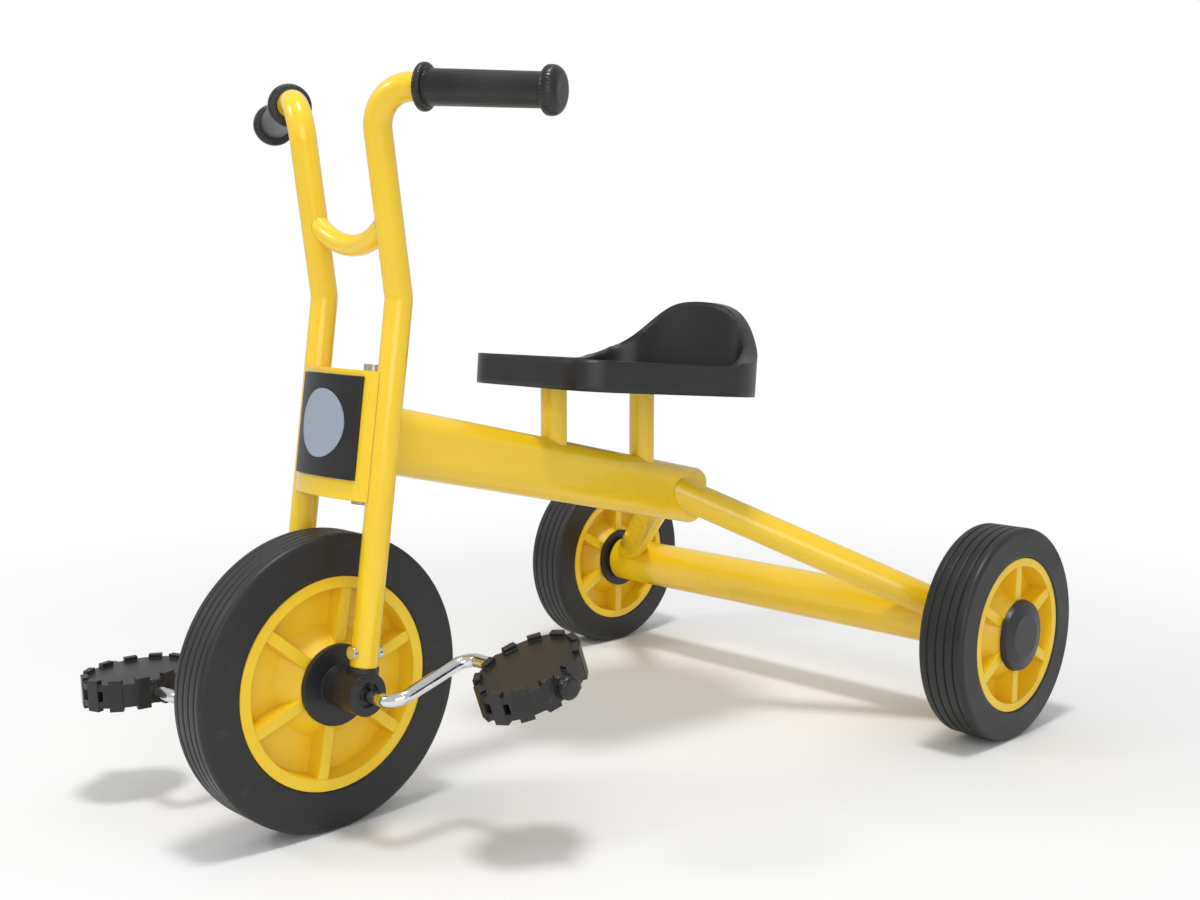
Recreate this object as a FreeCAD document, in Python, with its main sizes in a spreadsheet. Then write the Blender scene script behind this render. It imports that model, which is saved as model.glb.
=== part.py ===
"""Toddler tricycle, pedal-driven front wheel, two free rear wheels.

Frame of the model: +X forward, +Y to the rider's left, +Z up, millimetres.
The origin lies on the ground, midway along the tricycle and on its middle plane.
"""
import FreeCAD, Part
import math
import os

import Sketcher

Vector = FreeCAD.Vector
Rotation = FreeCAD.Rotation
Placement = FreeCAD.Placement

SIZES = [
    # wheels on the ground
    ("wheelbase", 538.0),
    ("rear_track", 483.8),
    ("front_tyre_radius", 110.0),
    ("front_tyre_width", 37.4),
    ("rear_tyre_radius", 93.1),
    ("rear_tyre_width", 42.2),
    ("tyre_shoulder", 4.0),
    ("tyre_bead_chamfer", 1.6),
    ("tyre_seat_gap", 0.1),
    ("groove_width", 1.6),
    ("groove_depth", 1.6),
    ("front_groove_pitch", 7.2),
    ("rear_groove_pitch", 8.2),
    # rims
    ("front_rim_radius", 78.9),
    ("rear_rim_radius", 67.2),
    ("rim_inset", 0.9),
    ("front_rim_lip", 8.6),
    ("rear_rim_lip", 7.0),
    ("rim_draft", 2.0),
    ("web_thickness", 5.0),
    ("rib_count", 6),
    ("rib_width", 8.6),
    ("rib_inset", 0.8),
    ("hub_radius", 27.0),
    ("hub_cone", 15.0),
    ("front_hub_length", 36.4),
    ("rear_hub_length", 42.0),
    # hub flanges and caps
    ("flange_radius", 29.9),
    ("flange_thickness", 3.6),
    ("flange_neck_radius", 13.0),
    ("flange_neck_length", 11.0),
    ("hub_cap_radius", 31.4),
    ("hub_cap_thickness", 4.4),
    ("hub_cap_crown", 2.6),
    ("hub_disc_radius", 30.4),
    ("hub_disc_thickness", 3.2),
    # fork and handlebar
    ("fork_tube_radius", 10.0),
    ("fork_half_spread", 46.0),
    ("fork_rake", 8.05),
    ("fork_setback", 2.0),
    ("fork_foot", 18.0),
    ("fork_kink", 280.4),
    ("fork_kink_bend", 24.0),
    ("bar_lean", 7.6),
    ("bar_height", 533.0),
    ("bar_bend", 27.0),
    ("grip_sweep", 25.0),
    ("grip_droop", 3.7),
    ("bar_reach", 128.0),
    ("brace_radius", 7.8),
    ("brace_sag", 12.0),
    ("brace_half_span", 37.0),
    ("brace_height", 425.0),
    # grips
    ("grip_start", 37.0),
    ("grip_length", 103.5),
    ("grip_radius", 12.5),
    ("grip_end_radius", 11.9),
    ("grip_flange_radius", 16.5),
    ("grip_flange_width", 6.0),
    ("grip_knob_radius", 16.6),
    ("grip_knob_width", 12.0),
    ("grip_fit", 0.05),
    # steering head
    ("head_foot", 134.6),
    ("head_height", 92.8),
    ("head_bulge", 12.0),
    ("head_wall", 2.6),
    ("head_plate", 3.0),
    ("steer_setback", 18.0),
    ("head_tube_radius", 14.0),
    ("head_tube_gap", 1.0),
    ("steer_pin_radius", 5.0),
    ("steer_fit", 0.08),
    ("steer_cap_radius", 7.5),
    ("steer_cap_height", 5.5),
    ("panel_width", 70.8),
    ("panel_foot", 149.0),
    ("panel_height", 74.0),
    ("panel_thickness", 2.4),
    ("lamp_radius", 24.9),
    ("lamp_rise", 187.2),
    ("lamp_thickness", 0.6),
    # front bearing housings
    ("housing_radius", 15.5),
    ("housing_inner", 33.6),
    ("housing_outer", 57.1),
    ("housing_collar", 11.2),
    ("socket_radius", 8.4),
    ("socket_depth", 22.0),
    ("recess_radius", 9.0),
    ("recess_depth", 2.4),
    ("running_fit", 0.08),
    ("seam_gap", 0.06),
    ("fork_screw_rise", 28.0),
    ("fork_screw_radius", 2.5),
    ("fork_screw_head", 5.0),
    ("fork_screw_head_height", 3.4),
    # crank and pedals
    ("crank_radius", 5.0),
    ("crank_arm", 69.3),
    ("crank_arm_offset", 87.0),
    ("crank_bend", 13.0),
    ("crank_angle", 17.0),
    ("crank_spindle_end", 186.0),
    ("pedal_centre", 155.0),
    ("pedal_left_tilt", 20.0),
    ("pedal_right_tilt", 2.0),
    ("pedal_length", 66.0),
    ("pedal_width", 84.0),
    ("pedal_plate", 5.0),
    ("pedal_height", 18.0),
    ("pedal_barrel", 9.0),
    ("pedal_block_count", 12),
    ("pedal_block", 5.0),
    ("pedal_block_rise", 3.0),
    ("pedal_cap_length", 7.0),
    # main beam and seat posts
    ("beam_height", 51.0),
    ("beam_width", 30.0),
    ("beam_slope", 13.1),
    ("beam_front_height", 285.4),
    ("beam_length", 376.8),
    ("beam_end_round", 7.0),
    ("post_radius", 10.9),
    ("post_front_setback", 233.5),
    ("post_rear_setback", 339.5),
    # seat
    ("seat_setback", 310.0),
    ("seat_under_height", 304.5),
    ("seat_tilt", 4.6),
    ("seat_front", 111.0),
    ("seat_rear", 110.0),
    ("seat_front_half", 76.0),
    ("seat_rear_half", 103.0),
    ("seat_corner", 34.0),
    ("seat_rear_corner", 62.0),
    ("seat_rim_height", 25.0),
    ("seat_back_height", 82.0),
    ("seat_back_half", 88.0),
    ("seat_back_wall", 13.0),
    ("seat_dish", 7.0),
    ("seat_rim_width", 13.0),
    ("seat_skirt", 6.0),
    ("seat_recess", 9.0),
    ("seat_plate_thickness", 3.0),
    # rear axle and stays
    ("axle_beam_radius", 22.5),
    ("axle_beam_half_length", 214.0),
    ("axle_radius", 6.0),
    ("stay_radius", 14.2),
    ("stay_start_setback", 372.5),
    ("stay_start_height", 213.3),
    ("stay_reach", 198.0),
]

doc = FreeCAD.newDocument("tricycle")
sheet = doc.addObject("Spreadsheet::Sheet", "Sizes")
for row, (alias, number) in enumerate(SIZES, start=1):
    sheet.set("A%d" % row, alias)
    sheet.set("B%d" % row, str(number))
    sheet.setAlias("B%d" % row, alias)
doc.recompute()

NODES = []


def size(alias):
    """A driving size, read from the sheet."""
    return float(sheet.get(alias))


def node(thing, label, placement=None):
    """Names a finished piece, and puts it in its place."""
    thing.Label = label
    if placement is not None:
        thing.Placement = placement
    NODES.append(thing)
    return thing


def bind(thing, **expressions):
    """Ties properties to cells: each value is an expression of sheet aliases."""
    for name, text in expressions.items():
        thing.setExpression(name, with_sheet(text))


def with_sheet(text):
    """Puts the sheet's name before each alias in an expression."""
    out = []
    for word in text.replace("(", " ( ").replace(")", " ) ").split():
        known = word.isidentifier() and any(word == alias for alias, _ in SIZES)
        out.append("Sizes." + word if known else word)
    return " ".join(out)


def value(text):
    """The number that an expression of sheet aliases gives."""
    return float(sheet.evalExpression(with_sheet(text)))


def cylinder(name, radius, length, placement=None):
    """Upright cylinder from its foot, with bound radius and height."""
    thing = doc.addObject("Part::Cylinder", name)
    bind(thing, Radius=radius, Height=length)
    if placement is not None:
        thing.Placement = placement
    return thing


def box(name, length, width, height, placement):
    """Bound box from its low corner."""
    thing = doc.addObject("Part::Box", name)
    bind(thing, Length=length, Width=width, Height=height)
    thing.Placement = placement
    return thing


def fuse(name, *things):
    """One solid from several."""
    thing = doc.addObject("Part::MultiFuse", name)
    thing.Shapes = list(things)
    return thing


def cut(name, base, *tools):
    """Base less every tool, one after another."""
    for count, tool in enumerate(tools):
        step = doc.addObject("Part::Cut", "%s_%d" % (name, count))
        step.Base = base
        step.Tool = tool
        base = step
    return base


def feature(name, shape, placement=None):
    """A shape made by formula, as a document object."""
    thing = doc.addObject("Part::Feature", name)
    thing.Shape = shape
    if placement is not None:
        thing.Placement = placement
    return thing


def body_plane(body, role):
    """One of a body's own origin planes or axes."""
    for item in body.Origin.OriginFeatures:
        if item.Role == role:
            return item
    raise ValueError(role)


def sketch_on(body, role, name):
    """A sketch on one of the body's own planes."""
    sketch = body.newObject("Sketcher::SketchObject", name)
    sketch.AttachmentSupport = (body_plane(body, role), [""])
    sketch.MapMode = "FlatFace"
    return sketch


def outline(sketch, corners):
    """Closed straight-sided outline, each corner held by two bound distances."""
    points = [Vector(value(across), value(along), 0) for across, along in corners]
    count = len(points)
    first = sketch.GeometryCount
    for index in range(count):
        line = Part.LineSegment(points[index], points[(index + 1) % count])
        sketch.addGeometry(line, False)
    for index in range(count):
        here = first + index
        after = first + (index + 1) % count
        sketch.addConstraint(Sketcher.Constraint("Coincident", here, 2, after, 1))
    for index, (across, along) in enumerate(corners):
        for kind, text in (("DistanceX", across), ("DistanceY", along)):
            held = Sketcher.Constraint(kind, -1, 1, first + index, 1, value(text))
            number = sketch.addConstraint(held)
            sketch.setExpression("Constraints[%d]" % number, with_sheet(text))


def revolved(label, corners):
    """Body turned about its own Y axis from (along the axis, radius) corners."""
    body = doc.addObject("PartDesign::Body", label)
    sketch = sketch_on(body, "YZ_Plane", label + "_section")
    outline(sketch, corners)
    turned = body.newObject("PartDesign::Revolution", label + "_turned")
    turned.Profile = sketch
    turned.ReferenceAxis = (sketch, ["H_Axis"])
    turned.Angle = 360
    doc.recompute()
    return body


def round_rings(body, rings, radius):
    """Rounds the circular edges whose (along the axis, radius) are given."""
    base = body.Tip
    names = []
    for number, edge in enumerate(base.Shape.Edges, start=1):
        curve = edge.Curve
        if not isinstance(curve, Part.Circle):
            continue
        for along, ring in rings:
            same_place = abs(curve.Center.y - value(along)) < 0.01
            if same_place and abs(curve.Radius - value(ring)) < 0.01:
                names.append("Edge%d" % number)
    smooth = body.newObject("PartDesign::Fillet", body.Name + "_round_%d" % len(body.Group))
    smooth.Base = (base, names)
    bind(smooth, Radius=radius)
    doc.recompute()


def rod_path(points, bend):
    """Straight runs through the points, joined by tangent arcs."""
    edges = []
    start = points[0]
    for before, corner, after in zip(points, points[1:], points[2:]):
        back = (before - corner).normalize()
        ahead = (after - corner).normalize()
        half = 0.5 * math.acos(max(-1.0, min(1.0, back.dot(ahead))))
        run = bend / math.tan(half)
        first = corner + back * run
        last = corner + ahead * run
        inward = (back + ahead).normalize()
        middle = corner + inward * (bend / math.sin(half) - bend)
        edges.append(Part.LineSegment(start, first).toShape())
        edges.append(Part.Arc(first, middle, last).toShape())
        start = last
    edges.append(Part.LineSegment(start, points[-1]).toShape())
    return Part.Wire(edges)


def round_rod(points, bends, radius):
    """Round bar along a bent route. bends gives one radius for each inner point."""
    if not isinstance(bends, (list, tuple)):
        bends = [bends] * (len(points) - 2)
    edges = []
    start = points[0]
    for number, bend in enumerate(bends, start=1):
        short = rod_path([start, points[number], points[number + 1]], bend).Edges
        edges.extend(short[:2])
        start = short[1].Vertexes[1].Point
    edges.append(Part.LineSegment(start, points[-1]).toShape())
    route = Part.Wire(edges)
    heading = points[1] - points[0]
    ring = Part.Wire([Part.Circle(points[0], heading, radius).toShape()])
    return route.makePipeShell([ring], True, False)


# ---------------------------------------------------------------- places
FRONT_X = value("(rear_tyre_radius + wheelbase - front_tyre_radius) / 2")
REAR_X = FRONT_X - size("wheelbase")
RAKE = math.radians(size("fork_rake"))
FORK_TURN = Rotation(Vector(0, 1, 0), -size("fork_rake"))
FRONT_AXLE = Vector(FRONT_X, 0, size("front_tyre_radius"))
REAR_AXLE = Vector(REAR_X, 0, size("rear_tyre_radius"))
FORK_ORIGIN = FRONT_AXLE - Vector(size("fork_setback"), 0, 0)
FORK = Placement(FORK_ORIGIN, FORK_TURN)
AROUND_X = Rotation(Vector(1, 0, 0), -90)


def fork_point(ahead, side, rise):
    """A point given ahead of, beside and up along the raked fork tubes."""
    return FORK.multVec(Vector(ahead, side, rise))


def fork_place(ahead, side, rise, turn=Rotation()):
    """A placement given in the raked fork's own directions."""
    return Placement(fork_point(ahead, side, rise), FORK_TURN.multiply(turn))


SIDES = (("left", 1), ("right", -1))


# ---------------------------------------------------------------- wheels
def tyre(label, radius, width, rim_radius, pitch, centre):
    """Solid tyre with a flat crown, four grooves and a chamfered bead."""
    half = width + " / 2"
    bead = half + " - tyre_bead_chamfer"
    body = revolved(label, [
        ("0 - ( %s )" % half, rim_radius + " + tyre_bead_chamfer"),
        ("0 - ( %s )" % bead, rim_radius + " + tyre_seat_gap"),
        (bead, rim_radius + " + tyre_seat_gap"),
        (half, rim_radius + " + tyre_bead_chamfer"),
        (half, radius),
        ("0 - ( %s )" % half, radius),
    ])
    round_rings(body, [(half, radius), ("0 - ( %s )" % half, radius)], "tyre_shoulder")
    before = body.Shape.Volume
    sketch = sketch_on(body, "YZ_Plane", label + "_grooves")
    for step in ("-1.5", "-0.5", "0.5", "1.5"):
        low = "%s * %s - groove_width / 2" % (pitch, step)
        high = "%s * %s + groove_width / 2" % (pitch, step)
        floor = radius + " - groove_depth"
        above = radius + " + groove_depth"
        outline(sketch, [(low, floor), (high, floor), (high, above), (low, above)])
    groove = body.newObject("PartDesign::Groove", label + "_tread")
    groove.Profile = sketch
    groove.ReferenceAxis = (sketch, ["H_Axis"])
    groove.Angle = 360
    doc.recompute()
    assert body.Shape.Volume < before, label + " tread was not cut"
    return node(body, label, Placement(centre, Rotation()))


def rim(label, rim_radius, rim_lip, width, hub_length, bore, centre, turn):
    """Moulded rim: lip, recessed web, conical hub and radial ribs on both faces."""
    half = "( %s / 2 - rim_inset )" % width
    lip = rim_radius + " - " + rim_lip
    web = "web_thickness / 2"
    hub = hub_length + " / 2"
    right = [
        (half, rim_radius),
        (half, lip),
        (web, lip + " - rim_draft"),
        (web, "hub_radius + hub_cone"),
        (hub, "hub_radius"),
        (hub, bore),
    ]
    left = [("0 - ( %s )" % across, along) for across, along in reversed(right)]
    body = revolved(label, right + left)
    sketch = sketch_on(body, "XZ_Plane", label + "_rib_section")
    inner = "hub_radius - 1"
    outer = lip + " + 1"
    side = "rib_width / 2"
    other = "0 - rib_width / 2"
    outline(sketch, [(other, inner), (side, inner), (side, outer), (other, outer)])
    rib = body.newObject("PartDesign::Pad", label + "_rib")
    rib.Profile = sketch
    rib.SideType = "Symmetric"
    bind(rib, Length="2 * ( %s - rib_inset )" % half)
    doc.recompute()
    ribs = body.newObject("PartDesign::PolarPattern", label + "_ribs")
    ribs.Originals = [rib]
    ribs.Axis = (body_plane(body, "Y_Axis"), [""])
    ribs.Angle = 360
    bind(ribs, Occurrences="rib_count")
    body.Tip = ribs
    doc.recompute()
    return node(body, label, Placement(centre, Rotation(Vector(0, 1, 0), turn)))


tyre("front_tyre", "front_tyre_radius", "front_tyre_width", "front_rim_radius",
     "front_groove_pitch", FRONT_AXLE)
rim("front_rim", "front_rim_radius", "front_rim_lip", "front_tyre_width",
    "front_hub_length", "crank_radius + seam_gap", FRONT_AXLE, -10)

for side_name, side in SIDES:
    flange = revolved("hub_flange_" + side_name, [
        ("front_hub_length / 2", "crank_radius + seam_gap"),
        ("front_hub_length / 2", "flange_radius"),
        ("front_hub_length / 2 + flange_thickness", "flange_radius"),
        ("front_hub_length / 2 + flange_thickness", "flange_neck_radius + 2"),
        ("front_hub_length / 2 + flange_thickness + flange_neck_length", "flange_neck_radius"),
        ("front_hub_length / 2 + flange_thickness + flange_neck_length", "crank_radius + seam_gap"),
    ])
    facing = Rotation() if side > 0 else Rotation(Vector(0, 0, 1), 180)
    node(flange, "hub_flange_" + side_name, Placement(FRONT_AXLE, facing))

for side_name, side in SIDES:
    centre = REAR_AXLE + Vector(0, side * size("rear_track") / 2, 0)
    facing = Rotation() if side > 0 else Rotation(Vector(0, 0, 1), 180)
    tyre("rear_tyre_" + side_name, "rear_tyre_radius", "rear_tyre_width", "rear_rim_radius",
         "rear_groove_pitch", centre)
    rim("rear_rim_" + side_name, "rear_rim_radius", "rear_rim_lip", "rear_tyre_width",
        "rear_hub_length", "axle_radius + running_fit", centre, 0)
    cap = revolved("rear_hub_cap_" + side_name, [
        ("rear_hub_length / 2", "0"),
        ("rear_hub_length / 2", "hub_cap_radius"),
        ("rear_hub_length / 2 + hub_cap_thickness", "hub_cap_radius - 1.5"),
        ("rear_hub_length / 2 + hub_cap_thickness + hub_cap_crown", "hub_cap_radius * 0.6"),
        ("rear_hub_length / 2 + hub_cap_thickness + hub_cap_crown", "0"),
    ])
    node(cap, "rear_hub_cap_" + side_name, Placement(centre, facing))
    disc = revolved("rear_hub_disc_" + side_name, [
        ("0 - rear_hub_length / 2", "axle_radius + running_fit"),
        ("0 - rear_hub_length / 2", "hub_disc_radius"),
        ("0 - rear_hub_length / 2 - hub_disc_thickness", "hub_disc_radius"),
        ("0 - rear_hub_length / 2 - hub_disc_thickness", "axle_radius + running_fit"),
    ])
    node(disc, "rear_hub_disc_" + side_name, Placement(centre, facing))


# ---------------------------------------------------------------- crank and pedals
def crank_route():
    """Corner points of the cranked axle, from the left pedal to the right one."""
    arm = size("crank_arm")
    offset = size("crank_arm_offset")
    tip = size("crank_spindle_end")
    half = [Vector(-arm, tip, 0), Vector(-arm, offset, 0), Vector(0, offset, 0)]
    return half + [Vector(-p.x, -p.y, 0) for p in reversed(half)]


CRANK_TURN = Rotation(Vector(0, 1, 0), size("crank_angle"))
CRANK = Placement(FRONT_AXLE, CRANK_TURN)
crank_shape = round_rod(crank_route(), size("crank_bend"), size("crank_radius"))
node(feature("crank", crank_shape), "crank", CRANK)


def pedal_outline(length, width, height):
    """Oval slab centred on the spindle, its short axis along the spindle."""
    long_half = width / 2.0
    short_half = length / 2.0
    curve = Part.Ellipse(Vector(0, 0, 0), long_half, short_half)
    face = Part.Face(Part.Wire([curve.toShape()]))
    slab = face.extrude(Vector(0, 0, height))
    slab.translate(Vector(0, 0, -height / 2.0))
    return slab


def pedal_shape(side):
    """Oval pedal: two treads, a barrel along the spindle, end walls and rim blocks."""
    length = size("pedal_length")
    width = size("pedal_width")
    height = size("pedal_height")
    plate = size("pedal_plate")
    block = size("pedal_block")
    shape = pedal_outline(length, width, height)
    hollow = Part.makeBox(width, length * 0.5, height - 2 * plate)
    hollow.translate(Vector(-width / 2.0, -length / 4.0, plate - height / 2.0))
    shape = shape.cut(hollow)
    along = Vector(0, 1, 0)
    foot = Vector(0, -length / 2.0 - 2, 0)
    barrel = Part.makeCylinder(size("pedal_barrel"), length + 4, foot, along)
    shape = shape.fuse(barrel)
    rise = height + 2 * size("pedal_block_rise")
    count = int(size("pedal_block_count"))
    for number in range(count):
        angle = 2 * math.pi * (number + 0.5) / count
        reach_x = (width / 2.0 - block / 2.0) * math.cos(angle)
        reach_y = (length / 2.0 - block / 2.0) * math.sin(angle)
        lug = Part.makeBox(block, block * 2, rise)
        lug.translate(Vector(-block / 2.0, -block, -rise / 2.0))
        normal = math.atan2(reach_y / length ** 2, reach_x / width ** 2)
        lug.rotate(Vector(0, 0, 0), Vector(0, 0, 1), math.degrees(normal))
        lug.translate(Vector(reach_x, reach_y, 0))
        shape = shape.fuse(lug)
    bore = Part.makeCylinder(size("crank_radius") + size("running_fit"), 4 * length,
                             Vector(0, -2 * length, 0), along)
    return shape.cut(bore).removeSplitter()


for side_name, side in SIDES:
    spindle = CRANK.multVec(Vector(-side * size("crank_arm"), side * size("pedal_centre"), 0))
    tilted = Rotation(Vector(0, 1, 0), size("pedal_%s_tilt" % side_name))
    node(feature("pedal_" + side_name, pedal_shape(side)), "pedal_" + side_name,
         Placement(spindle, tilted))
    face = side * (size("pedal_length") / 2.0 + 2)
    cap_foot = spindle + Vector(0, face, 0)
    dome = Part.makeCylinder(size("pedal_barrel") - 0.3, size("pedal_cap_length"))
    dome = dome.makeFillet(3.4, [dome.Edges[0]])
    hole_depth = size("crank_spindle_end") - size("pedal_centre") - size("pedal_length") / 2.0 - 2
    outward = Rotation(Vector(1, 0, 0), -90 * side)
    if hole_depth > 0:
        hole = Part.makeCylinder(size("crank_radius") + size("running_fit"), hole_depth + 0.2)
        dome = dome.cut(hole)
    node(feature("pedal_cap_" + side_name, dome), "pedal_cap_" + side_name,
         Placement(cap_foot, outward))


# ---------------------------------------------------------------- fork and handlebar
def bar_route(side):
    """Corner points of one fork tube, from its foot at the hub to its tip in the grip."""
    spread = side * size("fork_half_spread")
    foot = fork_point(0, spread, size("fork_foot"))
    kink = fork_point(0, spread, size("fork_kink"))
    rise = size("bar_height") - kink.z
    lean = math.tan(math.radians(size("bar_lean")))
    corner = Vector(kink.x + rise * lean, spread, size("bar_height"))
    sweep = math.radians(size("grip_sweep"))
    droop = math.radians(size("grip_droop"))
    ahead = Vector(-math.sin(sweep) * math.cos(droop), side * math.cos(sweep) * math.cos(droop),
                   -math.sin(droop))
    tip = corner + ahead * size("bar_reach")
    return [foot, kink, corner, tip], ahead


for side_name, side in SIDES:
    route, grip_heading = bar_route(side)
    bends = [size("fork_kink_bend"), size("bar_bend")]
    tube = feature("bent_tube_" + side_name, round_rod(route, bends, size("fork_tube_radius")))
    spread = side * size("fork_half_spread")
    socket = cylinder("socket_hole_" + side_name, "socket_radius + 0.02", "socket_depth + 1",
                      fork_place(0, spread, size("fork_foot") - 1))
    across = Rotation(Vector(0, 1, 0), 90)
    drill_foot = -2 * size("fork_tube_radius")
    drill = cylinder("screw_hole_" + side_name, "fork_screw_radius", "4 * fork_tube_radius",
                     fork_place(drill_foot, spread, size("fork_screw_rise"), across))
    node(cut("fork_tube_" + side_name, tube, socket, drill), "fork_tube_" + side_name)

    # T-shaped plastic bearing under the tube, round the cranked axle
    barrel_length = "housing_outer - housing_inner"
    inner_face = size("housing_inner") if side > 0 else -size("housing_outer")
    barrel = cylinder("barrel_" + side_name, "housing_radius", barrel_length,
                      Placement(FRONT_AXLE + Vector(0, inner_face, 0), AROUND_X))
    collar = cylinder("collar_" + side_name, "housing_collar", "fork_foot",
                      fork_place(0, spread, 0))
    plug = cylinder("plug_" + side_name, "socket_radius", "socket_depth + fork_foot",
                    fork_place(0, spread, 0))
    bore_foot = FRONT_AXLE + Vector(0, -2 * size("housing_outer"), 0)
    bore = cylinder("bearing_bore_" + side_name, "crank_radius + running_fit",
                    "4 * housing_outer", Placement(bore_foot, AROUND_X))
    recess_from = side * size("housing_outer") - (0 if side < 0 else size("recess_depth"))
    recess = cylinder("recess_" + side_name, "recess_radius", "recess_depth",
                      Placement(FRONT_AXLE + Vector(0, recess_from, 0), AROUND_X))
    drill_plug = cylinder("plug_drill_" + side_name, "fork_screw_radius", "4 * fork_tube_radius",
                          fork_place(drill_foot, spread, size("fork_screw_rise"), across))
    housing = cut("housing_" + side_name, fuse("tee_" + side_name, barrel, collar, plug),
                  bore, recess, drill_plug)
    node(housing, "bearing_housing_" + side_name)

    # cross screw through tube and plug, a round head before and a cap nut behind
    shank_foot = -size("fork_tube_radius")
    shank = cylinder("shank_" + side_name, "fork_screw_radius", "2 * fork_tube_radius",
                     fork_place(shank_foot, spread, size("fork_screw_rise"), across))
    heads = []
    for end_name, foot in (("front", size("fork_tube_radius") - 0.8),
                           ("back", -size("fork_tube_radius") + 0.8
                            - size("fork_screw_head_height"))):
        head = cylinder("head_%s_%s" % (end_name, side_name), "fork_screw_head",
                        "fork_screw_head_height",
                        fork_place(foot, spread, size("fork_screw_rise"), across))
        heads.append(head)
    saddle = feature("saddle_" + side_name,
                     round_rod(route, bends, size("fork_tube_radius")))
    trimmed = cut("trimmed_heads_" + side_name, fuse("heads_" + side_name, *heads), saddle)
    node(fuse("fork_screw_fused_" + side_name, trimmed, shank), "fork_screw_" + side_name)

    # grip: flange, slightly barrelled sleeve and rounded knob over the bar's end
    grip = revolved("grip_body_" + side_name, [
        ("0", "fork_tube_radius + grip_fit"),
        ("0", "grip_flange_radius"),
        ("grip_flange_width", "grip_flange_radius"),
        ("grip_flange_width", "grip_radius"),
        ("grip_length - grip_knob_width", "grip_end_radius"),
        ("grip_length - grip_knob_width", "grip_knob_radius"),
        ("grip_length", "grip_knob_radius"),
        ("grip_length", "0"),
        ("bar_reach - grip_start + grip_fit", "0"),
        ("bar_reach - grip_start + grip_fit", "fork_tube_radius + grip_fit"),
    ])
    round_rings(grip, [("0", "grip_flange_radius"), ("grip_flange_width", "grip_flange_radius")],
                "grip_flange_width * 0.42")
    round_rings(grip, [("grip_length", "grip_knob_radius")], "grip_knob_width * 0.6")
    round_rings(grip, [("grip_length - grip_knob_width", "grip_knob_radius")],
                "grip_knob_width * 0.25")
    turn = Rotation(Vector(0, 1, 0), grip_heading)
    grip_place = route[2] + grip_heading * size("grip_start")
    node(grip, "grip_" + side_name, Placement(grip_place, turn))


def bar_x(height):
    """Where the upper stretch of the fork tubes stands at a height."""
    kink = fork_point(0, 0, size("fork_kink"))
    return kink.x + (height - kink.z) * math.tan(math.radians(size("bar_lean")))


# sagging brace between the two tubes
sag = size("brace_sag")
half_span = size("brace_half_span")
low = Vector(bar_x(size("brace_height")), 0, size("brace_height"))
high_z = size("brace_height") + sag
ends = [Vector(bar_x(high_z), edge * half_span, high_z) for edge in (-1, 1)]
arc = Part.Arc(ends[0], low, ends[1])
tangents = [arc.tangent(arc.FirstParameter)[0], arc.tangent(arc.LastParameter)[0]]
reach = size("fork_half_spread") - half_span
first_point = ends[0] - tangents[0] * (reach / abs(tangents[0].y))
last_point = ends[1] + tangents[1] * (reach / abs(tangents[1].y))
brace_wire = Part.Wire([
    Part.LineSegment(first_point, ends[0]).toShape(),
    arc.toShape(),
    Part.LineSegment(ends[1], last_point).toShape(),
])
brace_ring = Part.Wire([Part.Circle(first_point, tangents[0], size("brace_radius")).toShape()])
brace = feature("brace_full", brace_wire.makePipeShell([brace_ring], True, False))
brace_tools = []
for side_name, side in SIDES:
    route, _ = bar_route(side)
    tool = round_rod(route, [size("fork_kink_bend"), size("bar_bend")], size("fork_tube_radius"))
    brace_tools.append(feature("brace_cope_" + side_name, tool))
node(cut("brace", brace, *brace_tools), "handlebar_brace")


# ---------------------------------------------------------------- steering head
def bowed_sheet(offset, thickness, half_width, foot, height):
    """Upright sheet bowed forward between the fork tubes, in the fork's own directions."""
    spread = size("fork_half_spread")
    bulge = size("head_bulge")
    radius = (spread ** 2 + bulge ** 2) / (2 * bulge)
    front = size("fork_tube_radius") + bulge + offset
    centre = Vector(front - radius - offset, 0, foot)
    outer = Part.makeCylinder(radius + offset, height, centre)
    inner = Part.makeCylinder(radius + offset - thickness, height, centre)
    keep = Part.makeBox(2 * radius, 2 * half_width, height, Vector(centre.x, -half_width, foot))
    return outer.cut(inner).common(keep)


def head_shape():
    """Bowed front sheet with a lid and a floor that carry the steering pin."""
    foot = size("head_foot")
    height = size("head_height")
    plate = size("head_plate")
    spread = size("fork_half_spread")
    setback = size("steer_setback")
    front = bowed_sheet(0, size("head_wall"), spread, foot, height)
    shape = front
    bulge = size("head_bulge")
    radius = (spread ** 2 + bulge ** 2) / (2 * bulge)
    tube = size("fork_tube_radius")
    for level in (foot, foot + height - plate):
        crown = Part.makeCylinder(radius, plate, Vector(tube + bulge - radius, 0, level))
        ahead = Part.makeBox(2 * tube + bulge, 2 * spread, plate, Vector(-tube, -spread, level))
        lid = crown.common(ahead)
        tongue = Part.makeCylinder(size("head_tube_radius") + 3, plate, Vector(-setback, 0, level))
        tongue_width = size("head_tube_radius") + 3
        link = Part.makeBox(setback, 2 * tongue_width, plate, Vector(-setback, -tongue_width, level))
        shape = shape.fuse(lid).fuse(tongue).fuse(link)
    for edge in (-1, 1):
        cope = Part.makeCylinder(tube + size("seam_gap"), 3 * height,
                                 Vector(0, edge * spread, foot - height))
        shape = shape.cut(cope)
    pin = Part.makeCylinder(size("steer_pin_radius") + size("seam_gap"), 3 * height,
                            Vector(-setback, 0, foot - height))
    return shape.cut(pin).removeSplitter()


node(feature("head_box", head_shape()), "head_box", FORK)

panel_offset = size("panel_thickness") + size("seam_gap")
panel = bowed_sheet(panel_offset, size("panel_thickness"), size("panel_width") / 2.0,
                    size("panel_foot"), size("panel_height"))
node(feature("lamp_panel", panel), "lamp_panel", FORK)

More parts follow.
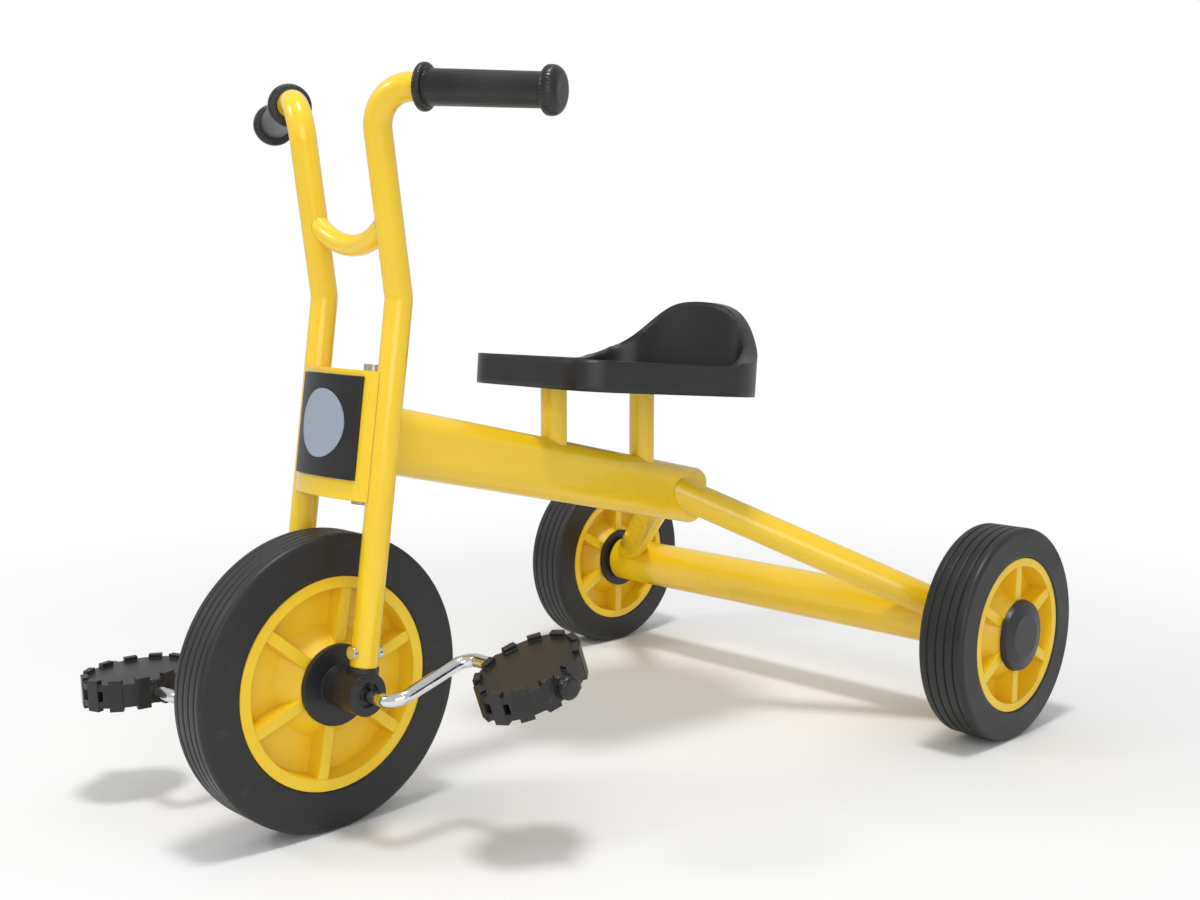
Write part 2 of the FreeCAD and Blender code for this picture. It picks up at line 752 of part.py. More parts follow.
lamp_offset = panel_offset + size("seam_gap") + size("lamp_thickness")
lamp_sheet = bowed_sheet(lamp_offset, size("lamp_thickness"), size("lamp_radius") + 1,
                         size("panel_foot"), size("panel_height"))
punch = Part.makeCylinder(size("lamp_radius"), 4 * size("lamp_radius"),
                          Vector(0, 0, size("lamp_rise")), Vector(1, 0, 0))
node(feature("lamp_disc", lamp_sheet.common(punch)), "lamp_disc", FORK)

pin_place = fork_place(-size("steer_setback"), 0, size("head_foot"))
pin_shank = cylinder("pin_shank", "steer_pin_radius", "head_height", pin_place)
cap_place = fork_place(-size("steer_setback"), 0, size("head_foot") + size("head_height"))
pin_cap = cylinder("pin_cap", "steer_cap_radius", "steer_cap_height", cap_place)
nut_place = fork_place(-size("steer_setback"), 0, size("head_foot") - size("steer_cap_height"))
pin_nut = cylinder("pin_nut", "steer_cap_radius", "steer_cap_height", nut_place)
node(fuse("steering_pin_fused", pin_shank, pin_cap, pin_nut), "steering_pin")


# ---------------------------------------------------------------- main frame
tube_foot = size("head_foot") + size("head_plate") + size("head_tube_gap")
tube_place = fork_place(-size("steer_setback"), 0, tube_foot)
tube_length = "head_height - 2 * head_plate - 2 * head_tube_gap"
head_outer = cylinder("head_tube_outer", "head_tube_radius", tube_length, tube_place)
head_bore = cylinder("head_tube_bore", "steer_pin_radius + steer_fit", tube_length, tube_place)
node(cut("head_tube", head_outer, head_bore), "head_tube")

# flat oval beam, falling to the rear from the head tube
HEAD_RISE = (size("beam_front_height") - FORK_ORIGIN.z
             + size("steer_setback") * math.sin(RAKE)) / math.cos(RAKE)
BEAM_START = fork_point(-size("steer_setback"), 0, HEAD_RISE)
BEAM_TURN = Rotation(Vector(0, 1, 0), -90 - size("beam_slope"))
BEAM = Placement(BEAM_START, BEAM_TURN)


def beam_shape():
    """Flat oval bar along local Z, its tall side along local X, with a rounded tail."""
    tall = size("beam_height") / 2.0
    wide = size("beam_width") / 2.0
    flat = tall - wide
    upper = Part.Arc(Vector(flat, wide, 0), Vector(tall, 0, 0), Vector(flat, -wide, 0))
    lower = Part.Arc(Vector(-flat, -wide, 0), Vector(-tall, 0, 0), Vector(-flat, wide, 0))
    wire = Part.Wire([
        upper.toShape(),
        Part.LineSegment(Vector(flat, -wide, 0), Vector(-flat, -wide, 0)).toShape(),
        lower.toShape(),
        Part.LineSegment(Vector(-flat, wide, 0), Vector(flat, wide, 0)).toShape(),
    ])
    bar = Part.Face(wire).extrude(Vector(0, 0, size("beam_length")))
    tail = [edge for edge in bar.Edges
            if abs(edge.CenterOfMass.z - size("beam_length")) < 0.01]
    return bar.makeFillet(size("beam_end_round"), tail)


full_beam = feature("beam_full", beam_shape(), BEAM)
beam_cope = cylinder("beam_cope", "head_tube_radius + seam_gap", "3 * head_height",
                     fork_place(-size("steer_setback"), 0, size("head_foot") - size("head_height")))
front_trim = box("beam_front_trim", "2 * beam_height", "2 * beam_height", "3 * beam_height",
                 fork_place(-size("steer_setback"), -size("beam_height"), HEAD_RISE
                            - 1.5 * size("beam_height")))
beam = node(cut("main_beam_cut", full_beam, beam_cope, front_trim), "main_beam")


def beam_centre_height(x):
    """Height of the beam's centre line at x."""
    slope = math.tan(math.radians(size("beam_slope")))
    return BEAM_START.z - (BEAM_START.x - x) * slope


# seat support: two posts and a plate inside the seat's skirt
SEAT_TURN = Rotation(Vector(0, 1, 0), -size("seat_tilt"))
SEAT = Placement(Vector(FRONT_X - size("seat_setback"), 0, size("seat_under_height")), SEAT_TURN)
plate_low = size("seat_recess") - size("seat_plate_thickness")


def seat_plane_height(x, lift):
    """Height of the plane that lies lift above the seat's underside, at x."""
    tilt = math.radians(size("seat_tilt"))
    return SEAT.Base.z + lift / math.cos(tilt) + (x - SEAT.Base.x) * math.tan(tilt)


post_x = {}
posts = {}
for post_name in ("front", "rear"):
    x = FRONT_X - size("post_%s_setback" % post_name)
    post_x[post_name] = x
    foot = beam_centre_height(x)
    length = seat_plane_height(x, plate_low) - foot
    raw = doc.addObject("Part::Cylinder", "post_%s_full" % post_name)
    bind(raw, Radius="post_radius")
    raw.Height = length + size("post_radius")
    raw.Placement = Placement(Vector(x, 0, foot), Rotation())
    above = box("post_%s_top" % post_name, "8 * post_radius", "8 * post_radius", "8 * post_radius",
                Placement(Vector(x, 0, seat_plane_height(x, plate_low))
                          + SEAT_TURN.multVec(Vector(-4 * size("post_radius"),
                                                     -4 * size("post_radius"), 0)), SEAT_TURN))
    cope = feature("post_%s_cope" % post_name, beam_shape(), BEAM)
    posts[post_name] = node(cut("post_" + post_name, raw, above, cope), "seat_post_" + post_name)


def seat_local_x(x):
    """Place along the seat's own length of a point at x on its underside."""
    return (x - SEAT.Base.x) / math.cos(math.radians(size("seat_tilt")))


plate_front = seat_local_x(post_x["front"]) + 2 * size("post_radius")
plate_rear = seat_local_x(post_x["rear"]) - 2 * size("post_radius")
plate_half = 2 * size("post_radius")
seat_plate = Part.makeBox(plate_front - plate_rear, 2 * plate_half, size("seat_plate_thickness"),
                          Vector(plate_rear, -plate_half, plate_low))
node(feature("seat_plate", seat_plate), "seat_plate", SEAT)


# ---------------------------------------------------------------- seat
def seat_outline(inset):
    """Plan of the seat: narrower front, wider tail, rounded corners."""
    front = size("seat_front") - inset
    rear = -size("seat_rear") + inset
    front_half = size("seat_front_half") - inset
    rear_half = size("seat_rear_half") - inset
    corner = max(size("seat_corner") - inset, 1.0)
    tail = max(size("seat_rear_corner") - inset, 1.0)
    corners = [
        (Vector(front, front_half, 0), corner),
        (Vector(rear, rear_half, 0), tail),
        (Vector(rear, -rear_half, 0), tail),
        (Vector(front, -front_half, 0), corner),
    ]
    edges = []
    ends = []
    for index, (corner_point, bend) in enumerate(corners):
        before = corners[index - 1][0]
        after = corners[(index + 1) % 4][0]
        back = (before - corner_point).normalize()
        ahead = (after - corner_point).normalize()
        half = 0.5 * math.acos(back.dot(ahead))
        run = bend / math.tan(half)
        middle = corner_point + (back + ahead).normalize() * (bend / math.sin(half) - bend)
        ends.append((corner_point + back * run, middle, corner_point + ahead * run))
    for index, (first, middle, last) in enumerate(ends):
        edges.append(Part.Arc(first, middle, last).toShape())
        following = ends[(index + 1) % 4][0]
        edges.append(Part.LineSegment(last, following).toShape())
    return Part.Face(Part.Wire(edges))


def seat_side_profile():
    """What the seat keeps in side view: rim along the top, rising to the back."""
    front = size("seat_front") + 5
    rear = -size("seat_rear") - 5
    rim = size("seat_rim_height")
    top = size("seat_back_height")
    start = Vector(front, 0, 0)
    rim_front = Vector(front, 0, rim)
    rise_start = Vector(rear + 80, 0, rim)
    rise_end = Vector(rear + 22, 0, top)
    curve = Part.BezierCurve()
    curve.setPoles([rise_start, Vector(rear + 44, 0, rim), Vector(rear + 32, 0, top - 22), rise_end])
    wire = Part.Wire([
        Part.LineSegment(start, rim_front).toShape(),
        Part.LineSegment(rim_front, rise_start).toShape(),
        curve.toShape(),
        Part.LineSegment(rise_end, Vector(rear, 0, top)).toShape(),
        Part.LineSegment(Vector(rear, 0, top), Vector(rear, 0, 0)).toShape(),
        Part.LineSegment(Vector(rear, 0, 0), start).toShape(),
    ])
    reach = size("seat_rear_half") + 10
    face = Part.Face(wire)
    face.translate(Vector(0, -reach, 0))
    return face.extrude(Vector(0, 2 * reach, 0))


def seat_back_profile():
    """What the back keeps in rear view: a bell over the rim."""
    half = size("seat_rear_half") + 5
    rim = size("seat_rim_height")
    top = size("seat_back_height")
    shoulder = size("seat_back_half")
    right = Vector(0, -half, rim + 2)
    left = Vector(0, half, rim + 2)
    curve = Part.BSplineCurve()
    curve.interpolate([
        right,
        Vector(0, -shoulder, rim + 6),
        Vector(0, -shoulder * 0.64, top - 22),
        Vector(0, -shoulder * 0.40, top - 6),
        Vector(0, 0, top),
        Vector(0, shoulder * 0.40, top - 6),
        Vector(0, shoulder * 0.64, top - 22),
        Vector(0, shoulder, rim + 6),
        left,
    ])
    wire = Part.Wire([
        curve.toShape(),
        Part.LineSegment(left, Vector(0, half, 0)).toShape(),
        Part.LineSegment(Vector(0, half, 0), Vector(0, -half, 0)).toShape(),
        Part.LineSegment(Vector(0, -half, 0), right).toShape(),
    ])
    face = Part.Face(wire)
    face.translate(Vector(-size("seat_rear") - 10, 0, 0))
    return face.extrude(Vector(size("seat_rear") + size("seat_front") + 20, 0, 0))


def seat_shape():
    """Moulded seat: dished top, raised back, skirt and hollow underside."""
    top = size("seat_back_height")
    rim = size("seat_rim_height")
    block = seat_outline(0).extrude(Vector(0, 0, top))
    shape = block.common(seat_side_profile()).common(seat_back_profile())
    inset = size("seat_rim_width")
    dish = seat_outline(inset).extrude(Vector(0, 0, top))
    dish.translate(Vector(0, 0, rim - size("seat_dish")))
    shape = shape.cut(dish)
    skirt = size("seat_skirt")
    hollow = seat_outline(skirt).extrude(Vector(0, 0, size("seat_recess")))
    return shape.cut(hollow).removeSplitter()


node(feature("seat", seat_shape()), "seat", SEAT)


# ---------------------------------------------------------------- rear axle and stays
axle_tube = cylinder("axle_tube", "axle_beam_radius", "2 * axle_beam_half_length",
                     Placement(REAR_AXLE - Vector(0, size("axle_beam_half_length"), 0), AROUND_X))
AXLE_HALF = size("rear_track") / 2.0 + size("rear_hub_length") / 2.0 - 0.5
axle_hole = cylinder("axle_hole", "axle_radius", "2 * axle_beam_half_length",
                     Placement(REAR_AXLE - Vector(0, size("axle_beam_half_length"), 0), AROUND_X))
node(cut("axle_beam_cut", axle_tube, axle_hole), "axle_beam")
rod = cylinder("axle_rod", "axle_radius", "rear_track + rear_hub_length - 1",
               Placement(REAR_AXLE - Vector(0, AXLE_HALF, 0), AROUND_X))
node(rod, "rear_axle")

for side_name, side in SIDES:
    start = Vector(FRONT_X - size("stay_start_setback"), 0, size("stay_start_height"))
    finish = Vector(REAR_X + 6, side * size("stay_reach"), size("rear_tyre_radius") + 12)
    heading = finish - start
    raw = doc.addObject("Part::Cylinder", "stay_full_" + side_name)
    bind(raw, Radius="stay_radius")
    raw.Height = heading.Length
    raw.Placement = Placement(start, Rotation(Vector(0, 0, 1), heading))
    beam_tool = feature("stay_beam_cope_" + side_name, beam_shape(), BEAM)
    axle_tool = cylinder("stay_axle_cope_" + side_name, "axle_beam_radius + seam_gap",
                         "2 * axle_beam_half_length",
                         Placement(REAR_AXLE - Vector(0, size("axle_beam_half_length"), 0),
                                   AROUND_X))
    middle = doc.addObject("Part::Box", "stay_middle_" + side_name)
    bind(middle, Length="wheelbase", Width="4 * stay_radius", Height="wheelbase")
    middle.Placement = Placement(Vector(REAR_X, 0 if side < 0 else -4 * size("stay_radius"), 0),
                                 Rotation())
    node(cut("stay_" + side_name, raw, beam_tool, axle_tool, middle), "rear_stay_" + side_name)


# ---------------------------------------------------------------- checks and export
doc.recompute()
for thing in doc.Objects:
    if "Invalid" in thing.State or "Error" in thing.State:
        raise RuntimeError("%s did not build: %s" % (thing.Name, thing.State))
for piece in NODES:
    if piece.Shape.isNull() or not piece.Shape.isValid():
        raise RuntimeError(piece.Label + " is not a valid solid")

os.makedirs("parts", exist_ok=True)
for piece in NODES:
    piece.Shape.exportStep("parts/%s.step" % piece.Label)
    print(piece.Label, len(piece.Shape.Solids), round(piece.Shape.Volume))
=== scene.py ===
"""Toddler tricycle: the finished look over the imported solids."""

import math

import bpy
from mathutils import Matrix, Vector


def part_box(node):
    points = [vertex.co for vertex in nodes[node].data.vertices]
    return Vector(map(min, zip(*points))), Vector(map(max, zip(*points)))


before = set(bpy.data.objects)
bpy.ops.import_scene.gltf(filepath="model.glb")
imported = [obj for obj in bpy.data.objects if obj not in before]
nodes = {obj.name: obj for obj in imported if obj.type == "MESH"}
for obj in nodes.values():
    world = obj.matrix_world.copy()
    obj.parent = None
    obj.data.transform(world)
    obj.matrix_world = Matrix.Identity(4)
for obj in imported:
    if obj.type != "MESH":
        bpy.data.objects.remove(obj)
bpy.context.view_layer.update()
scene = bpy.context.scene

SIDES = (("left", 1.0), ("right", -1.0))
MIX_A, MIX_B, MIX_RESULT = 6, 7, 2  # colour sockets of a Mix node
GRIP_SWEEP = math.radians(25.0)
GRIP_DROOP = math.radians(3.7)
FLUTE_COUNT = 44


def middle(node):
    """Middle of a node's box, which for a wheel's tyre lies on its axle."""
    low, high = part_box(node)
    return (low + high) / 2


# ------------------------------------------------------------ shader groups
def group(name, inputs, outputs):
    """Empty shader group with these sockets, and its input and output nodes."""
    tree = bpy.data.node_groups.new(name, "ShaderNodeTree")
    for label, kind, value in inputs:
        socket = tree.interface.new_socket(label, in_out="INPUT", socket_type=kind)
        if value is not None:
            socket.default_value = value
    for label, kind in outputs:
        tree.interface.new_socket(label, in_out="OUTPUT", socket_type=kind)
    return tree, tree.nodes.new("NodeGroupInput"), tree.nodes.new("NodeGroupOutput")


def math_node(tree, operation, a, b=None):
    """Result of a maths node on numbers or sockets."""
    node = tree.nodes.new("ShaderNodeMath")
    node.operation = operation
    for index, value in enumerate((a, b)):
        if isinstance(value, (int, float)):
            node.inputs[index].default_value = value
        elif value is not None:
            tree.links.new(value, node.inputs[index])
    return node.outputs[0]


FLOAT, VECTOR = "NodeSocketFloat", "NodeSocketVector"

grain, g_in, g_out = group(
    "surface_grain",
    [("Vector", VECTOR, None), ("Grain", FLOAT, 900.0), ("Patch", FLOAT, 14.0),
     ("Low", FLOAT, 0.3), ("High", FLOAT, 0.45)],
    [("Height", FLOAT), ("Roughness", FLOAT), ("Patches", FLOAT), ("Specks", FLOAT),
     ("Scuffs", FLOAT)])
fine = grain.nodes.new("ShaderNodeTexNoise")
fine.inputs["Detail"].default_value = 5.0
fine.inputs["Roughness"].default_value = 0.62
broad = grain.nodes.new("ShaderNodeTexNoise")
broad.inputs["Detail"].default_value = 6.0
broad.inputs["Distortion"].default_value = 0.5
specks = grain.nodes.new("ShaderNodeTexVoronoi")
specks.inputs["Scale"].default_value = 420.0
stretch = grain.nodes.new("ShaderNodeMapping")
stretch.inputs["Scale"].default_value = (1.0, 9.0, 1.6)
stretch.inputs["Rotation"].default_value = (0.4, 0.2, 0.7)
scuff = grain.nodes.new("ShaderNodeTexNoise")
scuff.inputs["Scale"].default_value = 70.0
scuff.inputs["Detail"].default_value = 7.0
for texture in (fine, broad, specks, stretch):
    grain.links.new(g_in.outputs["Vector"], texture.inputs["Vector"])
grain.links.new(stretch.outputs["Vector"], scuff.inputs["Vector"])
grain.links.new(g_in.outputs["Grain"], fine.inputs["Scale"])
grain.links.new(g_in.outputs["Patch"], broad.inputs["Scale"])
spread = grain.nodes.new("ShaderNodeMapRange")
spread.inputs["From Min"].default_value = 0.36
spread.inputs["From Max"].default_value = 0.66
grain.links.new(broad.outputs["Fac"], spread.inputs["Value"])
rough = grain.nodes.new("ShaderNodeMapRange")
grain.links.new(spread.outputs["Result"], rough.inputs["Value"])
grain.links.new(g_in.outputs["Low"], rough.inputs["To Min"])
grain.links.new(g_in.outputs["High"], rough.inputs["To Max"])
speck_mask = grain.nodes.new("ShaderNodeMapRange")
speck_mask.inputs["From Min"].default_value = 0.10
speck_mask.inputs["From Max"].default_value = 0.05
grain.links.new(specks.outputs["Distance"], speck_mask.inputs["Value"])
speck_some = math_node(grain, "MULTIPLY", speck_mask.outputs["Result"], spread.outputs["Result"])
scuff_mask = grain.nodes.new("ShaderNodeMapRange")
scuff_mask.inputs["From Min"].default_value = 0.62
scuff_mask.inputs["From Max"].default_value = 0.72
grain.links.new(scuff.outputs["Fac"], scuff_mask.inputs["Value"])
grain.links.new(fine.outputs["Fac"], g_out.inputs["Height"])
grain.links.new(rough.outputs["Result"], g_out.inputs["Roughness"])
grain.links.new(spread.outputs["Result"], g_out.inputs["Patches"])
grain.links.new(speck_some, g_out.inputs["Specks"])
grain.links.new(scuff_mask.outputs["Result"], g_out.inputs["Scuffs"])

# rings round an axle parallel to Y
rings, r_in, r_out = group(
    "turning_rings",
    [("Vector", VECTOR, None), ("Centre", VECTOR, None), ("Frequency", FLOAT, 4000.0)],
    [("Height", FLOAT)])
offset = rings.nodes.new("ShaderNodeVectorMath")
offset.operation = "SUBTRACT"
rings.links.new(r_in.outputs["Vector"], offset.inputs[0])
rings.links.new(r_in.outputs["Centre"], offset.inputs[1])
flat = rings.nodes.new("ShaderNodeVectorMath")
flat.operation = "MULTIPLY"
flat.inputs[1].default_value = (1.0, 0.0, 1.0)
rings.links.new(offset.outputs[0], flat.inputs[0])
length = rings.nodes.new("ShaderNodeVectorMath")
length.operation = "LENGTH"
rings.links.new(flat.outputs[0], length.inputs[0])
turns = math_node(rings, "MULTIPLY", length.outputs["Value"], r_in.outputs["Frequency"])
rings.links.new(math_node(rings, "SINE", turns), r_out.inputs["Height"])


# ---------------------------------------------------------------- materials
def material(name, colour, second, low, high, metallic=0.0, coat=0.0, coat_rough=0.1,
             grain_scale=900.0, patch=14.0, bump=0.12, depth=0.0003, specular=0.5,
             speck=None, scuff=None, centre=None, ring_bump=0.0, flutes=None, edge=0.0012):
    """Principled surface with grain, broad patches, rounded edges and optional marks."""
    made = bpy.data.materials.new(name)
    made.use_nodes = True
    tree = made.node_tree
    shader = tree.nodes["Principled BSDF"]
    shader.inputs["Metallic"].default_value = metallic
    shader.inputs["Coat Weight"].default_value = coat
    shader.inputs["Coat Roughness"].default_value = coat_rough
    shader.inputs["Specular IOR Level"].default_value = specular
    place = tree.nodes.new("ShaderNodeTexCoord").outputs["Object"]
    surface = tree.nodes.new("ShaderNodeGroup")
    surface.node_tree = grain
    tree.links.new(place, surface.inputs["Vector"])
    for label, value in (("Grain", grain_scale), ("Patch", patch), ("Low", low), ("High", high)):
        surface.inputs[label].default_value = value

    def blend(factor, a, b, amount=1.0):
        mix = tree.nodes.new("ShaderNodeMix")
        mix.data_type = "RGBA"
        tree.links.new(math_node(tree, "MULTIPLY", factor, amount), mix.inputs["Factor"])
        for socket, value in ((mix.inputs[MIX_A], a), (mix.inputs[MIX_B], b)):
            if isinstance(value, tuple):
                socket.default_value = (*value, 1.0)
            else:
                tree.links.new(value, socket)
        return mix.outputs[MIX_RESULT]

    shade = blend(surface.outputs["Patches"], colour, second)
    if speck:
        shade = blend(surface.outputs["Specks"], shade, speck, 0.8)
    if scuff:
        shade = blend(surface.outputs["Scuffs"], shade, scuff, 0.35)
    tree.links.new(shade, shader.inputs["Base Color"])
    tree.links.new(surface.outputs["Roughness"], shader.inputs["Roughness"])
    rounded = tree.nodes.new("ShaderNodeBevel")
    rounded.samples = 6
    rounded.inputs["Radius"].default_value = edge
    relief = tree.nodes.new("ShaderNodeBump")
    tree.links.new(rounded.outputs["Normal"], relief.inputs["Normal"])
    relief.inputs["Strength"].default_value = bump
    relief.inputs["Distance"].default_value = depth
    tree.links.new(surface.outputs["Height"], relief.inputs["Height"])
    last = relief
    if centre is not None:
        turned = tree.nodes.new("ShaderNodeGroup")
        turned.node_tree = rings
        tree.links.new(place, turned.inputs["Vector"])
        turned.inputs["Centre"].default_value = centre
        ring = tree.nodes.new("ShaderNodeBump")
        ring.inputs["Strength"].default_value = ring_bump
        ring.inputs["Distance"].default_value = depth
        tree.links.new(turned.outputs["Height"], ring.inputs["Height"])
        tree.links.new(last.outputs["Normal"], ring.inputs["Normal"])
        last = ring
    if flutes is not None:
        origin, turn, count = flutes
        local = tree.nodes.new("ShaderNodeMapping")
        local.vector_type = "TEXTURE"
        local.inputs["Location"].default_value = origin
        local.inputs["Rotation"].default_value = turn
        tree.links.new(place, local.inputs["Vector"])
        around = tree.nodes.new("ShaderNodeTexGradient")
        around.gradient_type = "RADIAL"
        tree.links.new(local.outputs["Vector"], around.inputs["Vector"])
        wave = math_node(tree, "SINE", math_node(tree, "MULTIPLY", around.outputs["Fac"],
                                                 count * 2 * math.pi))
        flute = tree.nodes.new("ShaderNodeBump")
        flute.inputs["Strength"].default_value = 0.16
        flute.inputs["Distance"].default_value = 0.0006
        tree.links.new(wave, flute.inputs["Height"])
        tree.links.new(last.outputs["Normal"], flute.inputs["Normal"])
        last = flute
    tree.links.new(last.outputs["Normal"], shader.inputs["Normal"])
    return made


def dress(names, surface):
    """Gives nodes one material."""
    for name in names:
        mesh = nodes[name].data
        mesh.materials.clear()
        mesh.materials.append(surface)


YELLOW = (0.93, 0.62, 0.012)
paint = material("yellow_enamel", YELLOW, (0.90, 0.58, 0.010), 0.22, 0.34, coat=0.6,
                 coat_rough=0.07, grain_scale=260.0, patch=10.0, bump=0.10, depth=0.0004,
                 speck=(0.55, 0.30, 0.02), scuff=(0.80, 0.45, 0.02))
rim_plastic = material("yellow_plastic", (0.91, 0.62, 0.018), (0.88, 0.57, 0.014), 0.32, 0.46,
                       coat=0.15, grain_scale=1400.0, bump=0.10, depth=0.0002,
                       scuff=(0.70, 0.45, 0.05))
seat_plastic = material("seat_plastic", (0.010, 0.011, 0.012), (0.014, 0.015, 0.016), 0.24, 0.36,
                        grain_scale=1500.0, bump=0.14, depth=0.0003, scuff=(0.03, 0.03, 0.032),
                        edge=0.007)
hub_plastic = material("hub_plastic", (0.011, 0.011, 0.012), (0.017, 0.017, 0.018), 0.30, 0.44,
                       grain_scale=1300.0, bump=0.22, speck=(0.06, 0.06, 0.06))
pedal_plastic = material("pedal_plastic", (0.009, 0.009, 0.010), (0.016, 0.016, 0.016), 0.30,
                         0.46, grain_scale=800.0, bump=0.35, depth=0.0004,
                         scuff=(0.07, 0.068, 0.064))
chrome = material("bright_plating", (0.80, 0.80, 0.82), (0.70, 0.71, 0.74), 0.08, 0.20,
                  metallic=1.0, grain_scale=300.0, bump=0.05, speck=(0.30, 0.27, 0.24))
zinc = material("zinc_plating", (0.56, 0.56, 0.53), (0.44, 0.44, 0.40), 0.30, 0.48,
                metallic=1.0, grain_scale=500.0, bump=0.15, speck=(0.25, 0.22, 0.18))
panel = material("panel_black", (0.010, 0.010, 0.011), (0.015, 0.015, 0.016), 0.26, 0.38,
                 grain_scale=1500.0, bump=0.10, scuff=(0.04, 0.04, 0.04))
disc_grey = material("disc_grey", (0.30, 0.34, 0.42), (0.34, 0.38, 0.46), 0.28, 0.42,
                     grain_scale=900.0, bump=0.08, speck=(0.2, 0.22, 0.26))

dress(["main_beam", "head_tube", "seat_post_front", "seat_post_rear", "axle_beam",
       "rear_stay_left", "rear_stay_right", "fork_tube_left", "fork_tube_right",
       "handlebar_brace", "head_box"], paint)
dress(["front_rim", "rear_rim_left", "rear_rim_right"], rim_plastic)
dress(["seat"], seat_plastic)
dress(["lamp_panel"], panel)
dress(["lamp_disc"], disc_grey)
dress(["crank", "fork_screw_left", "fork_screw_right"], chrome)
dress(["steering_pin", "rear_axle", "seat_plate"], zinc)
dress(["pedal_left", "pedal_right", "pedal_cap_left", "pedal_cap_right"], pedal_plastic)
hubs = [part + side for part in ("bearing_housing_", "hub_flange_", "rear_hub_cap_",
                                 "rear_hub_disc_") for side in ("left", "right")]
dress(hubs, hub_plastic)

for label in ("front_tyre", "rear_tyre_left", "rear_tyre_right"):
    rubber = material(label + "_rubber", (0.010, 0.010, 0.011), (0.017, 0.017, 0.017), 0.36,
                      0.54, grain_scale=700.0, patch=18.0, bump=0.22, depth=0.0004,
                      speck=(0.05, 0.048, 0.044), scuff=(0.04, 0.038, 0.036), centre=middle(label),
                      ring_bump=0.10, edge=0.0025)
    dress([label], rubber)

for side_name, side in SIDES:
    along = Vector((-math.sin(GRIP_SWEEP) * math.cos(GRIP_DROOP),
                    side * math.cos(GRIP_SWEEP) * math.cos(GRIP_DROOP), -math.sin(GRIP_DROOP)))
    turn = along.to_track_quat("Z", "Y").to_euler()
    grip = material("grip_rubber_" + side_name, (0.009, 0.009, 0.010), (0.015, 0.015, 0.016),
                    0.24, 0.38, grain_scale=1200.0, bump=0.25, scuff=(0.03, 0.03, 0.03), edge=0.002,
                    flutes=(middle("grip_" + side_name), turn, FLUTE_COUNT))
    dress(["grip_" + side_name], grip)

# -------------------------------------------------------------------- stage
bpy.ops.object.select_all(action="DESELECT")
FLOOR_SIZE = 30.0
FLOOR_GAP = 0.0002
SHADOW_FLOOR_RADIUS = 0.45
WHITE_FLOOR_RADIUS = 1.25
bpy.ops.mesh.primitive_plane_add(size=FLOOR_SIZE, location=(0, 0, -FLOOR_GAP))
floor = bpy.context.object
floor.name = "studio_floor"
floor_paint = bpy.data.materials.new("pale_floor")
floor_paint.use_nodes = True
ground = floor_paint.node_tree
floor_shader = ground.nodes["Principled BSDF"]
floor_shader.inputs["Base Color"].default_value = (0.84, 0.84, 0.83, 1.0)
floor_shader.inputs["Roughness"].default_value = 0.8
floor_shader.inputs["Specular IOR Level"].default_value = 0.1
glow = ground.nodes.new("ShaderNodeEmission")
glow.inputs["Strength"].default_value = 1.0
where = ground.nodes.new("ShaderNodeTexCoord")
away = ground.nodes.new("ShaderNodeVectorMath")
away.operation = "LENGTH"
ground.links.new(where.outputs["Object"], away.inputs[0])
fade = ground.nodes.new("ShaderNodeMapRange")
fade.interpolation_type = "SMOOTHSTEP"
fade.inputs["From Min"].default_value = SHADOW_FLOOR_RADIUS
fade.inputs["From Max"].default_value = WHITE_FLOOR_RADIUS
ground.links.new(away.outputs["Value"], fade.inputs["Value"])
seen = ground.nodes.new("ShaderNodeLightPath")
bright = math_node(ground, "MULTIPLY", fade.outputs["Result"], seen.outputs["Is Camera Ray"])
join = ground.nodes.new("ShaderNodeMixShader")
ground.links.new(bright, join.inputs["Fac"])
ground.links.new(floor_shader.outputs["BSDF"], join.inputs[1])
ground.links.new(glow.outputs[0], join.inputs[2])
ground.links.new(join.outputs[0], ground.nodes["Material Output"].inputs["Surface"])
floor.data.materials.append(floor_paint)

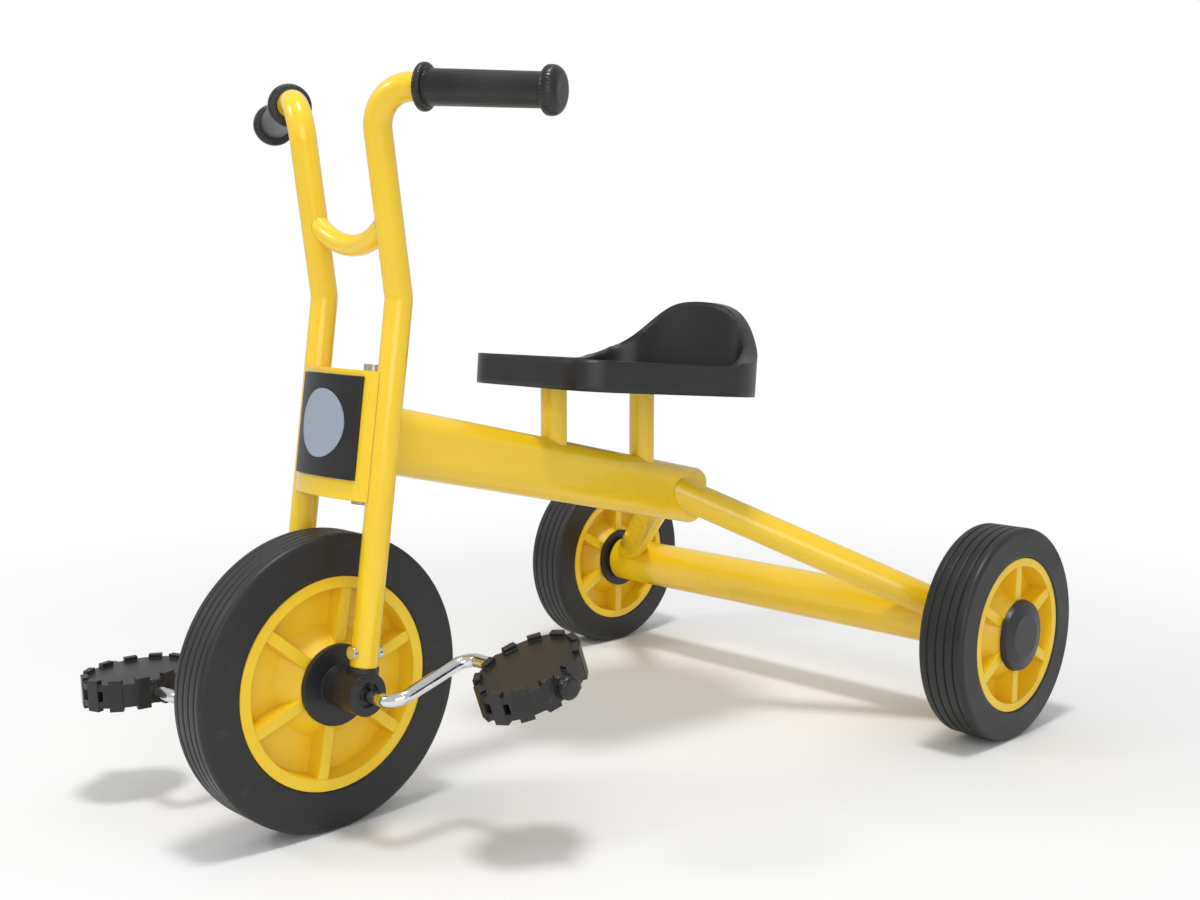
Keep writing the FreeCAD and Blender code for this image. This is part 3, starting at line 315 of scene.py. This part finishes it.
world = bpy.data.worlds.new("studio")
scene.world = world
world.use_nodes = True
air = world.node_tree
air.nodes.clear()
white = air.nodes.new("ShaderNodeBackground")
white.inputs["Color"].default_value = (1.0, 1.0, 1.0, 1.0)
white.inputs["Strength"].default_value = 1.0
ambient = air.nodes.new("ShaderNodeBackground")
ambient.inputs["Color"].default_value = (0.97, 0.98, 1.0, 1.0)
ambient.inputs["Strength"].default_value = 0.62
rays = air.nodes.new("ShaderNodeLightPath")
either = air.nodes.new("ShaderNodeMixShader")
sky = air.nodes.new("ShaderNodeOutputWorld")
air.links.new(rays.outputs["Is Camera Ray"], either.inputs["Fac"])
air.links.new(ambient.outputs[0], either.inputs[1])
air.links.new(white.outputs[0], either.inputs[2])
air.links.new(either.outputs[0], sky.inputs["Surface"])


def area_light(label, place, aim, size, power):
    """Soft rectangular lamp at place, turned towards aim."""
    lamp = bpy.data.lights.new(label, "AREA")
    lamp.shape = "RECTANGLE"
    lamp.size, lamp.size_y = size
    lamp.energy = power
    holder = bpy.data.objects.new(label, lamp)
    scene.collection.objects.link(holder)
    holder.location = place
    holder.rotation_euler = (Vector(aim) - Vector(place)).to_track_quat("-Z", "Y").to_euler()


area_light("key", (0.45, 0.50, 3.0), (0, 0, 0.2), (0.5, 0.5), 40.0)
area_light("left_key", (1.9, -1.3, 1.9), (0, 0, 0.2), (0.5, 0.5), 13.0)
area_light("front_fill", (1.5, 2.0, 1.0), (0, 0, 0.25), (1.6, 1.2), 12.0)

CAMERA_PLACE = (0.84465, 0.8754, 0.4093)
CAMERA_AIM = Vector((-0.700, -0.703, -0.125))
SENSOR_WIDTH = 36.0
LENS_LENGTH = 43.456
lens = bpy.data.cameras.new("view_camera")
lens.sensor_width = SENSOR_WIDTH
lens.lens = LENS_LENGTH
camera = bpy.data.objects.new("view_camera", lens)
scene.collection.objects.link(camera)
camera.location = CAMERA_PLACE
camera.rotation_euler = CAMERA_AIM.to_track_quat("-Z", "Y").to_euler()
scene.camera = camera
scene.view_settings.view_transform = "Standard"
